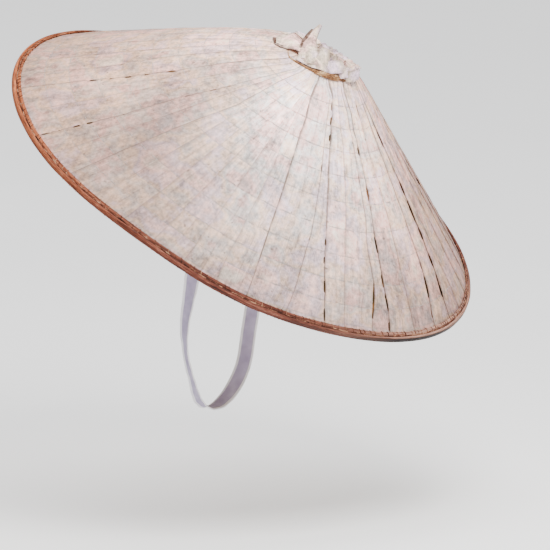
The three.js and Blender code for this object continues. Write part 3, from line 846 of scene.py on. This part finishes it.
def over_tuft(radius):
    near = TUFT_BASE + np.interp(radius, TUFT_RADII, TUFT_HEIGHTS)
    end = TUFT_RADII[-1]
    return np.where(radius < end, near, cover_height(np.maximum(radius, end), LEVEL_AZIMUTH) + 1.1)


def interpolate(at, knots, points):
    return np.stack([np.interp(at, knots, column) for column in points.T], -1)


def middle_line(path, rows, rounds):
    """Smoothed points along a path, their places between its knots, and the direction there."""
    path = np.array(path, float)
    fine, knots = np.linspace(0, len(path) - 1, rows), np.arange(len(path))
    line = interpolate(fine, knots, path)
    for _ in range(rounds):
        line[1:-1] = (line[:-2] + 2 * line[1:-1] + line[2:]) / 4
    return fine, line, unit(np.gradient(line, axis=0))


def flap(batch, path, widths, lifts, cut, stain, seed):
    random = np.random.default_rng(200 + seed)
    rows, length = 26, 50
    fine, line, along = middle_line(path, rows, 4)
    side = np.stack([along[:, 1], -along[:, 0]], -1)
    across, share = np.linspace(-1, 1, 11), np.linspace(0, 1, rows)[:, None]
    width = np.interp(fine, np.arange(len(widths)), widths)[:, None]
    plan = line[:, None] + side[:, None] * (across * width / 2)[..., None]
    slant = share**3 * (cut * across + 0.6 * np.sin(across * 9 + seed))
    plan = plan + along[:, None] * slant[..., None]
    radius = np.hypot(plan[..., 0], plan[..., 1])
    azimuth = np.degrees(np.arctan2(plan[..., 1], plan[..., 0]))
    edge = 1 - np.abs(across)
    lift = lifts[0] + (lifts[1] - lifts[0]) * share + 0.5 * np.exp(-(edge / 0.16)) * share
    lift = lift + 0.22 * np.sin(across * 6 + random.uniform(0, 6)) + 0.16 * np.sin(share * 15 + across * 2)
    height = over_tuft(radius) + lift
    front = on_crown(radius, azimuth, height + FLAP_THICKNESS)
    back = on_crown(radius, azimuth, height)
    rim = np.minimum(edge * width / 2, (1 - share) * length)
    leaf_end(batch, back, front, rim, share * length, width, random, 1.15, seam=0.3, stain=stain)


def strip(batch, path, widths, facing, cup, stain, thickness, seed):
    """Leaf end along a path in hat coordinates; facing is the direction that its face looks in."""
    random = np.random.default_rng(seed)
    fine, line, along = middle_line(path, 20, 3)
    width = np.interp(fine, np.arange(len(widths)), widths)[:, None]
    side = unit(np.cross(along, facing))
    face = np.cross(side, along)[:, None]
    across = np.linspace(-1, 1, 7)
    ripple = 0.3 * np.sin(across * 5 + fine[:, None] * 0.8 + random.uniform(0, 6))
    bend = cup * (1 - across**2) * width / 6 + ripple
    front = line[:, None] + side[:, None] * (across * width / 2)[..., None] + face * bend[..., None]
    length = run_length(line)[:, None]
    rim = np.minimum((1 - np.abs(across)) * width / 2, length[-1] - length)
    leaf_end(batch, front, front - face * thickness, rim, length, width, random, (0.8, 1.12), stain=stain)


# Section of the head that the leaf ends stand on: radius, height over TUFT_BASE
TUFT_HEAD = [(0.1, 2.6), (12, 2.9), (24, 2.5), (31, 1.7), (33, 0.9), (33, -1.2), (24, -1.2), (0.1, -1.2)]
HEAD_SIDES = 48


def tuft(material):
    batch = Batch()
    for seed, row in enumerate(BLADES):
        blade(batch, row, seed)
    for seed, row in enumerate(FLAPS):
        flap(batch, *row, seed)
    for seed, (path, widths, azimuth, *rest) in enumerate(STANDING):
        path = [polar(*point) + CROWN_CENTRE for point in path]
        strip(batch, path, widths, polar(1, azimuth, 0.25), *rest, 70 + seed)
    azimuth = np.linspace(0, 360, HEAD_SIDES, endpoint=False)[:, None]
    radius, height = np.array(TUFT_HEAD).T
    points = on_crown(radius[None, :] + 0 * azimuth, azimuth, height[None, :] + TUFT_BASE)
    faces = grid_faces(HEAD_SIDES, len(TUFT_HEAD), closed_rows=True, closed_columns=True)
    facts = np.stack([20 + 0 * points[..., 0], points[..., 0], 0.4 + 0 * points[..., 0]], -1)
    batch.add(
        to_world(points), faces, leaf=facts.reshape(-1, 3), width=60.0,
        **{**PLAIN_LEAF, "seam": 0.2, "stain": 0.3},
    )
    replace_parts(batch.piece("tuft", material, "sedge_ends", 45), "topknot")


# Chin strap

STRAP_WIDTH = 16.0
STRAP_STATIONS = [
    (77.5, -16, -50, -6), (76, -24, -99, -12), (74, -29, -121, 12), (72, -34.5, -143, 27),
    (67, -38, -174, 40), (52, -37.5, -213, 36), (28, -41, -239, 14), (0, -44, -248, 0),
]


def blend(at, start, end, a, b):
    """From a, where at is start, to b, where it is end."""
    return (end - at) / (end - start) * a + (at - start) / (end - start) * b


def catmull(points, steps):
    """Centripetal Catmull-Rom curve through points, with the steps spread evenly over its length."""
    points = np.asarray(points, float)
    points = np.concatenate([[2 * points[0] - points[1]], points, [2 * points[-1] - points[-2]]])
    fine = []
    for p0, p1, p2, p3 in zip(points, points[1:], points[2:], points[3:]):
        gaps = [max(np.linalg.norm(b - a) ** 0.5, 1e-6) for a, b in ((p0, p1), (p1, p2), (p2, p3))]
        t0, t1, t2, t3 = np.cumsum([0] + gaps)
        at = np.linspace(t1, t2, 40, endpoint=False)[:, None]
        a1, a2, a3 = blend(at, t0, t1, p0, p1), blend(at, t1, t2, p1, p2), blend(at, t2, t3, p2, p3)
        fine.append(blend(at, t1, t2, blend(at, t0, t2, a1, a2), blend(at, t1, t3, a2, a3)))
    fine = np.concatenate(fine + [points[-2:-1]])
    length = run_length(fine)
    even = np.linspace(0, length[-1], steps)
    return interpolate(even, length, fine)


# Round the head ring and back on itself: distance from the hat's axis and height from the ring's middle
STRAP_EYE = [
    (77.0, -34), (76.6, -24), (76.0, -15), (74.9, -10.5), (74.3, -6), (74.2, 0), (74.2, 6), (74.6, 9.6),
    (76.2, 10.5), (78.0, 10.7), (79.8, 10.5), (81.0, 9.4), (81.2, 5), (81.2, 0), (81.2, -5), (80.8, -10),
    (79.6, -15),
]
STRAP_ROWS = 420
EYE_TURN_ROWS = 14  # rows over which the tape turns from the eye's direction to its own
FACING_BACK = np.array([0.0, 1.0, 0.0])


def strap_route():
    """Rows of the tape: middle points and directions across it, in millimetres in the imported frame."""
    eye = [(np.array([r, 0, 0]) + height * HAT_AXIS, 0.0) for r, height in STRAP_EYE]
    left = eye + [((x, y, z), turn) for x, y, z, turn in STRAP_STATIONS]
    stations = left + [((-p[0], p[1], p[2]), turn) for p, turn in reversed(left[:-1])]
    line = catmull([p for p, _ in stations], STRAP_ROWS)
    knots = np.array([p for p, _ in stations], float)
    nearest = [int(np.argmin(np.linalg.norm(line - knot, axis=1))) for knot in knots]
    eye_rows = len(eye)
    nearest[:eye_rows] = sorted(nearest[:eye_rows])
    rows = np.arange(STRAP_ROWS)
    turns = np.interp(rows, np.maximum.accumulate(nearest), [turn for _, turn in stations])
    along = unit(np.gradient(line, axis=0))
    across = FACING_BACK - (along @ FACING_BACK)[:, None] * along
    first, last = nearest[eye_rows], nearest[-eye_rows - 1]
    hold = np.clip((first - rows) / EYE_TURN_ROWS, 0, 1) + np.clip((rows - last) / EYE_TURN_ROWS, 0, 1)
    across = across * (1 - hold[:, None]) + HAT_SIDE * hold[:, None]
    across = unit(across - (across * along).sum(1)[:, None] * along)
    angle = np.radians(turns)[:, None]
    across = across * np.cos(angle) + np.cross(along, across) * np.sin(angle)
    return line, across, np.cross(along, across)


TAPE_COLUMNS = np.array([-1, -0.96, -0.8, -0.74, -0.5, -0.25, 0, 0.25, 0.5, 0.74, 0.8, 0.96, 1])
HEM_FROM = 0.77
TAPE_HALF, HEM_EXTRA = 0.35, 0.3
TAPE_CUP = -2.0
FREE_FROM = (60, 110)  # millimetres from the ends, over which the tape begins to cup and crumple


def chin_strap(material):
    line, across, through = strap_route()
    share = TAPE_COLUMNS
    along = run_length(line)
    total = along[-1]
    free = smooth(*FREE_FROM, along) * smooth(*FREE_FROM, total - along)
    random = np.random.default_rng(23)
    crumple = np.zeros((len(line), len(share)))
    for _ in range(14):
        length, tilt = random.uniform(14, 60), random.uniform(-1.4, 1.4)
        crumple += random.uniform(0.03, 0.12) * np.sin(
            along[:, None] * 2 * math.pi / length + share[None] * tilt + random.uniform(0, 6.28)
        )
    bend = TAPE_CUP * (1 - share[None] ** 2) * free[:, None] + crumple * free[:, None]
    flat = share * STRAP_WIDTH / 2
    middle = line[:, None] + across[:, None] * flat[None, :, None] * 0.985
    half = (TAPE_HALF + HEM_EXTRA * (np.abs(share) > HEM_FROM))[None]
    front = middle + through[:, None] * (bend + half)[..., None]
    back = middle + through[:, None] * (bend - half)[..., None]
    facts = np.stack(np.broadcast_arrays(flat, along[:, None], np.abs(share)), -1)
    batch = Batch()
    batch.sheet(front * MM, back * MM, tape=facts)
    obj = batch.piece("chin_strap_tape", material, "cotton")
    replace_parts(obj, "chin_strap")


# Materials


class Look:
    """A material built from nodes."""

    def __init__(self, name):
        self.material = bpy.data.materials.new(name)
        self.material.use_nodes = True
        self.tree = self.material.node_tree
        self.shader = self.tree.nodes["Principled BSDF"]

    def node(self, kind, inputs=None, output=0, **settings):
        made = self.tree.nodes.new("ShaderNode" + kind)
        for key, value in settings.items():
            setattr(made, key, value)
        for key, value in (inputs or {}).items():
            self.put(made.inputs[key], value)
        return made.outputs[output]

    def put(self, socket, value):
        if isinstance(value, bpy.types.NodeSocket):
            self.tree.links.new(value, socket)
        else:
            socket.default_value = (*value, 1.0) if socket.type == "RGBA" else value

    def math(self, operation, a, b=0.0):
        return self.node("Math", {0: a, 1: b}, operation=operation)

    def times(self, a, b):
        return self.math("MULTIPLY", a, b)

    def plus(self, a, b):
        return self.math("ADD", a, b)

    def total(self, *parts):
        """Sum of values, each times its weight."""
        value, weight = parts[0]
        sum_so_far = self.times(value, weight)
        for value, weight in parts[1:]:
            sum_so_far = self.plus(sum_so_far, self.times(value, weight))
        return sum_so_far

    def facts(self, name):
        """Three point values of the mesh."""
        return self.node("Attribute", output=1, attribute_name=name)

    def number(self, name):
        """One point value of the mesh."""
        return self.node("Attribute", output=2, attribute_name=name)

    def place(self):
        return self.node("TexCoord", output=3)

    def split(self, vector):
        made = self.tree.nodes.new("ShaderNodeSeparateXYZ")
        self.put(made.inputs[0], vector)
        return made.outputs

    def vector(self, x, y, z):
        return self.node("CombineXYZ", {0: x, 1: y, 2: z})

    def noise(self, vector, scale=1.0, detail=2.0, rough=0.5):
        return self.node("TexNoise", {"Vector": vector, "Scale": scale, "Detail": detail, "Roughness": rough})

    def streaks(self, across, along, seed, scales, detail=2.0, rough=0.5):
        """Noise drawn out along the fibres."""
        place = self.vector(self.times(across, scales[0]), self.times(along, scales[1]), seed)
        return self.noise(place, 1.0, detail, rough)

    def ramp(self, value, stops):
        made = self.tree.nodes.new("ShaderNodeValToRGB")
        self.put(made.inputs[0], value)
        elements = made.color_ramp.elements
        while len(elements) < len(stops):
            elements.new(0.5)
        for element, (at, colour) in zip(elements, stops):
            element.position = at
            element.color = (*colour, 1.0)
        return made.outputs[0]

    def range(self, value, low, high, to_low=0.0, to_high=1.0):
        inputs = {0: value, 1: low, 2: high, 3: to_low, 4: to_high}
        return self.node("MapRange", inputs, interpolation_type="SMOOTHSTEP")

    def mix(self, factor, a, b, blend="MIX"):
        made = self.tree.nodes.new("ShaderNodeMix")
        made.data_type = "RGBA"
        made.blend_type = blend
        self.put(made.inputs[0], factor)
        self.put(made.inputs[6], a)
        self.put(made.inputs[7], b)
        return made.outputs[2]

    def bump(self, height, distance, strength=1.0):
        return self.node("Bump", {"Strength": strength, "Distance": distance, "Height": height})

    def finish(self, colour, roughness, normal=None, **fixed):
        self.put(self.shader.inputs["Base Color"], colour)
        self.put(self.shader.inputs["Roughness"], roughness)
        if normal is not None:
            self.put(self.shader.inputs["Normal"], normal)
        for key, value in fixed.items():
            self.shader.inputs[key.replace("_", " ")].default_value = value
        return self.material


def sedge_look(name, tints, faded, dark, mottle=1.0):
    look = Look(name)
    across, along, tone = look.split(look.facts("leaf"))
    place, seed, cell = look.place(), look.times(tone, 57.0), look.number("cell")
    fine = look.streaks(across, along, seed, (1.5, 0.025), 3, 0.6)
    broad = look.streaks(across, along, seed, (0.22, 0.012))
    blotch = look.streaks(across, along, seed, (0.1, 0.05), 3, 0.6)
    veins = look.streaks(across, along, seed, (2.6, 0.03))
    tint, patch = look.noise(place, 17.0, 3), look.noise(place, 13.0)
    grain, spots = look.noise(place, 240.0, 4, 0.7), look.noise(place, 75.0, 3, 0.6)
    mixed = look.total((tint, 0.74), (spots, 0.16), (cell, 0.1))
    # Paler colour where the leaves are bleached and where a highlight is painted
    colour = look.mix(look.number("fade"), look.ramp(mixed, tints), look.ramp(mixed, faded))
    shade = look.range(broad, 0.3, 0.7, 0.9, 1.1)
    mottling = [(blotch, 0.15 * mottle), (grain, 0.28 * mottle), (spots, 0.13 * mottle)]
    for part, size in [(fine, 0.13), *mottling, (patch, 0.17)]:
        shade = look.plus(shade, look.range(part, 0.3, 0.7, -size, size))
    # Tone of each stretch between stitch rows, partly painted shade
    shade = look.plus(shade, look.range(cell, 0.0, 1.0, -0.05, 0.05))
    # Brightness of the piece: painted highlights and darker patches on the cover, random tone on the tuft
    shade = look.times(shade, look.number("worth"))
    colour = look.mix(1.0, colour, look.vector(shade, shade, shade), "MULTIPLY")
    broken = look.noise(look.vector(look.times(along, 0.09), seed, 0.0))
    # Dark line along each leaf's edge: partly its darker edge, partly painted shadow
    edge = look.times(look.range(across, 0.4, 1.5, 0.85, 0.0), look.range(broken, 0.3, 0.6, 0.45, 1.0))
    middle = look.math("ABSOLUTE", look.math("SUBTRACT", across, look.times(look.number("width"), 0.5)))
    rib = look.times(look.range(middle, 0.1, 0.6, 0.35, 0.0), look.range(broken, 0.35, 0.6, 0.0, 1.0))
    faint = look.range(look.noise(place, 130.0), 0.38, 0.6, 0.1, 0.62)
    worn = look.range(look.noise(place, 300.0, 3), 0.35, 0.6, 0.8, 1.0)
    layers = [
        (look.times(edge, look.number("seam")), dark),
        # Painted shade along each leaf's edge
        (look.range(across, 0.8, 5.0, 0.16, 0.0), dark),
        (rib, dark),
        # Painted shade in the dents under the rows of stitches
        (look.times(look.number("groove"), faint), GROOVE),
        (look.range(look.noise(place, 210.0, 1), 0.7, 0.78, 0.0, 0.6), dark),
        # Stain and painted shadow
        (look.times(look.number("stain"), worn), STAIN),
    ]
    for cover, paint in layers:
        colour = look.mix(cover, colour, paint)
    relief = look.total((veins, 0.6), (look.noise(place, 90.0, 4, 0.6), 0.45))
    rough = look.range(fine, 0.2, 0.8, 0.62, 0.82)
    return look.finish(colour, rough, look.bump(relief, 0.0004, 0.55), Specular_IOR_Level=0.35)


def under_look():
    look = Look("leaf_shadow_layer")
    place = look.place()
    colour = look.ramp(look.noise(place, 35.0), UNDER_STOPS)
    normal = look.bump(look.noise(place, 400.0, 3), 0.0003, 0.6)
    return look.finish(colour, 0.9, normal, Specular_IOR_Level=0.1)


def bamboo_look(name, stops, bright=None):
    """Bamboo of the rim, with its brighter parts, partly painted highlight, and its painted highlight and
    painted shade, or else of the plain pieces inside.
    """
    look = Look(name)
    if bright:
        around, across, seed = look.split(look.facts("fibre"))
    else:
        x, y, z = look.split(look.place())
        around, across, seed = look.times(look.math("ARCTAN2", y, x), 80.0), look.times(z, 1000.0), 4.0
    fibre = look.streaks(around, across, seed, (0.03, 2.2), 4, 0.6)
    broad = look.streaks(around, across, seed, (0.02, 0.35), 3)
    worn = look.streaks(around, across, seed, (0.12, 0.6), 3, 0.6)
    tone = look.total((fibre, 0.45), (broad, 0.3), (worn, 0.25))
    colour = look.ramp(tone, stops)
    if bright:
        # Brighter bamboo on parts of the rim, partly painted highlight
        colour = look.mix(look.number("fade"), colour, look.ramp(tone, bright))
        # Painted highlight: paler streaks on the rim's right side
        colour = look.mix(look.times(look.number("pale"), look.range(fibre, 0.35, 0.55)), colour, BARE_BAMBOO)
        # Painted shade over the hoop's underside and the lower part of its outer wall
        low = look.times(look.number("dim"), look.range(across, 7.0, 8.9, 1.0, 0.0))
        colour = look.mix(low, colour, DARK_BAMBOO)
    rough = look.range(worn, 0.3, 0.7, 0.5, 0.75)
    return look.finish(colour, rough, look.bump(fibre, 0.00035, 0.5), Specular_IOR_Level=0.2)


def fibre_look(name, stops):
    look = Look(name)
    place = look.place()
    fine = look.noise(place, 900.0, 3, 0.6)
    tone = look.total((look.noise(place, 120.0, 3), 0.6), (fine, 0.4))
    return look.finish(look.ramp(tone, stops), 0.78, look.bump(fine, 0.0003, 0.7), Specular_IOR_Level=0.25)


def cotton_look():
    look = Look("cotton_tape")
    across, along, edge = look.split(look.facts("tape"))
    weft, warp = (look.math("SINE", look.times(way, turn)) for way, turn in ((along, 11.0), (across, 13.0)))
    # The tape's body painted in a lavender-grey shade; the hems keep the cotton's white
    colour = look.ramp(look.noise(look.place(), 60.0, 3), COTTON_STOPS)
    colour = look.mix(look.range(edge, 0.68, 0.76, 0.0, 0.95), colour, HEM)
    line = look.range(look.math("ABSOLUTE", look.math("SUBTRACT", edge, 0.7)), 0.0, 0.03, 0.4, 0.0)
    colour = look.mix(line, colour, SEAM_SHADOW)
    slub = look.noise(look.vector(along, across, 0.0), 2.0)
    normal = look.bump(look.total((look.times(weft, warp), 0.5), (slub, 0.6)), 0.00025, 0.6)
    return look.finish(colour, 0.88, normal, Specular_IOR_Level=0.2, Sheen_Weight=0.25)


# Colours, and ramps of them as (position, colour)
# Colour of the stains and of the painted shadow at the leaf ends and under the tuft's flaps
STAIN = (0.075, 0.03, 0.016)
# Painted highlight colour for the rim's paler streaks, and painted shade colour for the hoop's lower outer
# side
BARE_BAMBOO, DARK_BAMBOO = (0.74, 0.52, 0.42), (0.012, 0.005, 0.004)
HEM, SEAM_SHADOW = (0.97, 0.95, 1.0), (0.45, 0.46, 0.52)
# White cotton painted in lavender-grey shade
COTTON_STOPS = [(0.3, (0.38, 0.32, 0.48)), (0.5, (0.47, 0.41, 0.58)), (0.72, (0.60, 0.54, 0.70))]
# Colour of the painted shade under the rows of stitches
GROOVE = (0.20, 0.18, 0.17)
# Colours of the layer painted as the shade in the slits
UNDER_STOPS = [(0.38, (0.05, 0.035, 0.016)), (0.52, (0.13, 0.07, 0.028)), (0.62, (0.42, 0.20, 0.07))]
SEDGE_TINTS = [
    (0.34, (0.47, 0.34, 0.31)), (0.41, (0.69, 0.37, 0.29)), (0.46, (0.56, 0.39, 0.32)),
    (0.51, (0.69, 0.41, 0.27)), (0.56, (0.56, 0.36, 0.34)), (0.62, (0.75, 0.41, 0.32)),
    (0.68, (0.63, 0.44, 0.34)),
]
# Paler leaf colours: partly bleaching, partly painted highlight
FADED_TINTS = [
    (0.34, (0.52, 0.44, 0.43)), (0.41, (0.82, 0.52, 0.48)), (0.46, (0.62, 0.57, 0.56)),
    (0.51, (0.82, 0.59, 0.48)), (0.56, (0.66, 0.54, 0.59)), (0.62, (0.86, 0.56, 0.51)),
    (0.68, (0.72, 0.64, 0.58)),
]
TUFT_TINTS = [
    (0.34, (0.34, 0.22, 0.16)), (0.42, (0.86, 0.52, 0.47)), (0.48, (0.72, 0.58, 0.44)),
    (0.54, (0.74, 0.56, 0.68)), (0.60, (0.94, 0.66, 0.57)), (0.68, (0.96, 0.82, 0.62)),
]
INSIDE_TINTS = [(0.3, (0.36, 0.26, 0.16)), (0.5, (0.46, 0.34, 0.22)), (0.7, (0.54, 0.42, 0.28))]
RIM_STOPS = [
    (0.40, (0.016, 0.004, 0.003)), (0.46, (0.065, 0.014, 0.009)), (0.52, (0.14, 0.036, 0.022)),
    (0.57, (0.23, 0.07, 0.045)), (0.64, (0.50, 0.24, 0.16)),
]
# Colours of the rim's brighter parts, partly painted highlight
RIM_BRIGHT = [
    (0.38, (0.06, 0.012, 0.005)), (0.45, (0.24, 0.055, 0.018)), (0.52, (0.46, 0.125, 0.04)),
    (0.58, (0.60, 0.20, 0.08)), (0.65, (0.86, 0.50, 0.28)),
]
LASHING_STOPS = [(0.4, (0.035, 0.010, 0.006)), (0.5, (0.12, 0.035, 0.018)), (0.62, (0.50, 0.26, 0.15))]
STITCH_STOPS = [(0.38, (0.34, 0.29, 0.27)), (0.6, (0.60, 0.53, 0.50))]
INNER_STOPS = [(0.35, (0.30, 0.17, 0.08)), (0.5, (0.48, 0.32, 0.16)), (0.65, (0.60, 0.44, 0.25))]
TIE_STOPS = [
    (0.38, (0.07, 0.035, 0.018)), (0.46, (0.24, 0.10, 0.04)), (0.54, (0.42, 0.24, 0.11)),
    (0.64, (0.62, 0.44, 0.27)),
]


def build():
    outside = sedge_look("sedge", SEDGE_TINTS, FADED_TINTS, (0.13, 0.08, 0.055))
    cover = outer_leaves(outside)
    under_skin(under_look())
    inner_leaves(sedge_look("sedge_inside", INSIDE_TINTS, INSIDE_TINTS, (0.12, 0.08, 0.05), 0.6))
    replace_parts(cover, "sedge_cover")
    stitches(fibre_look("stitch_thread", STITCH_STOPS))
    rim(bamboo_look("rim_bamboo", RIM_STOPS, RIM_BRIGHT), fibre_look("lashing_thread", LASHING_STOPS))
    tie(fibre_look("tie_fibre", TIE_STOPS))
    tuft(sedge_look("sedge_ends", TUFT_TINTS, TUFT_TINTS, (0.12, 0.07, 0.05), 1.3))
    chin_strap(cotton_look())
    plain = bamboo_look("plain_bamboo", INNER_STOPS)
    for name in ("head_ring", "ring_post_1", "ring_post_2", "ring_post_3", "ring_post_4"):
        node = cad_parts[name]
        node.data.materials.clear()
        node.data.materials.append(plain)


build()


# Stage

FLOOR_HEIGHT = -0.34
FLOOR_SIZE = 90.0
FLOOR_GLOW = 0.7
FLOOR_TINTS = [(0.3, (0.88, 0.88, 0.88)), (0.7, (0.91, 0.91, 0.91))]
SKY, SKY_STRENGTH = (0.97, 0.98, 1.0, 1), 0.5
# Area lights: name, direction from the hat, distance, size, power, colour
LIGHTS = [
    ("key", (0.35, 0.5, 0.79), 1.05, 0.6, 20, (1, 0.985, 0.96)),
    ("top", (-0.2, -0.2, 1.0), 3.0, 2.2, 80, (1, 1, 1)),
]


def add_floor():
    half = FLOOR_SIZE / 2
    mesh = bpy.data.meshes.new("floor")
    corners = [(-half, -half), (half, -half), (half, half), (-half, half)]
    mesh.from_pydata([(x, y, FLOOR_HEIGHT) for x, y in corners], [], [(0, 1, 2, 3)])
    floor = bpy.data.objects.new("floor", mesh)
    bpy.context.scene.collection.objects.link(floor)
    look = Look("floor")
    colour = look.ramp(look.noise(look.place(), 3.0, 3), FLOOR_TINTS)
    paint = look.finish(colour, 0.9, Emission_Color=(1, 1, 1, 1), Emission_Strength=FLOOR_GLOW)
    floor.data.materials.append(paint)


def add_light(name, towards, distance, size, power, colour):
    data = bpy.data.lights.new(name, "AREA")
    data.size = size
    data.energy = power
    data.color = colour
    light = bpy.data.objects.new(name, data)
    direction = Vector(towards).normalized()
    light.location = direction * distance
    light.rotation_euler = direction.to_track_quat("Z", "Y").to_euler()
    bpy.context.scene.collection.objects.link(light)


def add_world():
    world = bpy.data.worlds.new("studio")
    world.use_nodes = True
    background = world.node_tree.nodes["Background"]
    background.inputs[0].default_value = SKY
    background.inputs[1].default_value = SKY_STRENGTH
    bpy.context.scene.world = world


add_floor()
add_world()
for row in LIGHTS:
    add_light(*row)
